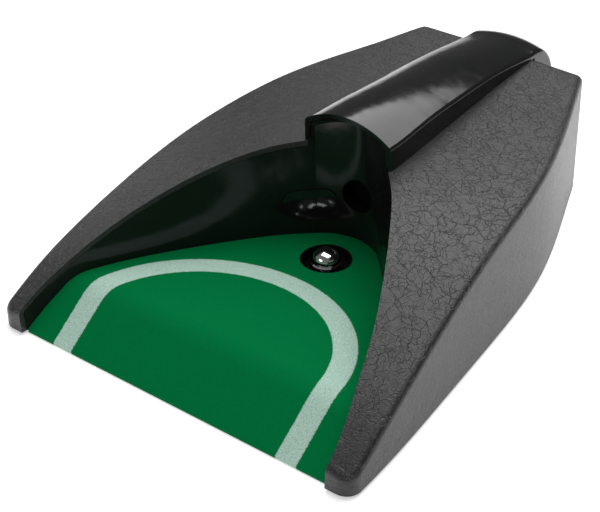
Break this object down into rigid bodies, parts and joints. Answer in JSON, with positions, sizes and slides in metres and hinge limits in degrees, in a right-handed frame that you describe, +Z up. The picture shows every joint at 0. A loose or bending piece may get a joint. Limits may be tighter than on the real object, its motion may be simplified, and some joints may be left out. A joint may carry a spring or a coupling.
{
  "type": "automatic putting cup",
  "caption": "Wedge-shaped golf putting cup with a turf ramp, a chrome trigger dome and a solenoid kicker that rolls the ball back out of its mouth.",
  "frame": {"origin": "centre of the bounding box, on the ground under the feet", "axes": "+X to the right seen from the mouth, +Y from the mouth to the back, +Z up"},
  "size_m": [0.1832, 0.262, 0.0765],
  "materials": {
    "shell_black": "leather-grained moulded black plastic, satin",
    "gloss_black": "polished black plastic",
    "turf_green": "short green felt with a flocked white line",
    "plate_black": "plain black plastic",
    "rubber_black": "soft black rubber",
    "zinc_steel": "zinc-plated steel",
    "chrome": "polished chrome",
    "spring_steel": "bare spring steel",
    "board_green": "solder-masked fibreglass board",
    "switch_black": "moulded black plastic",
    "switch_blue": "moulded blue plastic",
    "bobbin_white": "natural nylon",
    "copper": "enamelled copper wire",
    "smoked_lens": "smoked polished plastic",
    "led_red": "tinted epoxy",
    "cell_jacket": "printed steel jacket, plain",
    "cap_sleeve": "shrink sleeve over an aluminium can",
    "lead_red": "insulated wire"
  },
  "bodies": {
    "housing": {"outer_shell": "shell_black", "mouth_liner": "gloss_black", "hood_cover": "gloss_black", "turf_mat": "turf_green", "ramp_plate": "plate_black", "base_plate": "plate_black", "rubber_feet": "rubber_black", "base_screws": "zinc_steel", "hood_screws": "zinc_steel", "trigger_cup": "switch_black", "trigger_spring": "spring_steel", "trigger_board": "board_green", "trigger_switch": "switch_black", "solenoid_frame": "zinc_steel", "solenoid_bobbin": "bobbin_white", "solenoid_winding": "copper", "return_spring": "spring_steel", "solenoid_screws": "zinc_steel", "battery_tray": "plate_black", "batteries": "cell_jacket", "battery_springs": "spring_steel", "battery_contacts": "zinc_steel", "circuit_board": "board_green", "capacitors": "cap_sleeve", "relay": "switch_blue", "board_chips": "switch_black", "board_screws": "zinc_steel", "indicator_window": "smoked_lens", "indicator_housing": "plate_black", "indicator_led": "led_red", "power_switch": "switch_black", "dc_jack": "switch_black", "battery_leads": "lead_red", "solenoid_leads": "lead_red", "trigger_leads": "lead_red", "indicator_leads": "lead_red", "switch_leads": "lead_red", "jack_leads": "lead_red"},
    "trigger": {"trigger_dome": "chrome"},
    "switch_button": {"switch_plunger": "switch_blue"},
    "kicker": {"kicker_plunger": "zinc_steel", "kicker_tip": "rubber_black", "plunger_clip": "spring_steel"},
    "rocker": {"power_rocker": "switch_black"},
    "door": {"battery_door": "plate_black"}
  },
  "joints": [
    {"name": "trigger_press", "type": "slide", "parent": "housing", "child": "trigger", "axis": [0, 0, -1], "range_m": [0, 0.0011], "stiffness_N_per_m": 90, "springref_m": -0.002, "deforming": ["trigger_spring"]},
    {"name": "switch_press", "type": "slide", "parent": "housing", "child": "switch_button", "axis": [0, 0, -1], "range_m": [0, 0.0011], "stiffness_N_per_m": 20, "springref_m": -0.001},
    {"name": "kicker_stroke", "type": "slide", "parent": "housing", "child": "kicker", "axis": [0, -1, 0], "range_m": [0, 0.018], "stiffness_N_per_m": 60, "springref_m": -0.004, "deforming": ["return_spring"]},
    {"name": "power_rock", "type": "hinge", "parent": "housing", "child": "rocker", "pos_m": [0.0305, 0.1094, 0.024], "axis": [1, 0, 0], "range_deg": [0, 14]},
    {"name": "battery_door_lift", "type": "slide", "parent": "housing", "child": "door", "axis": [0, 0, -1], "range_m": [0, 0.025]}
  ],
  "couplings": [
    {"joint": "switch_press", "follows": "trigger_press", "ratio": 1}
  ]
}
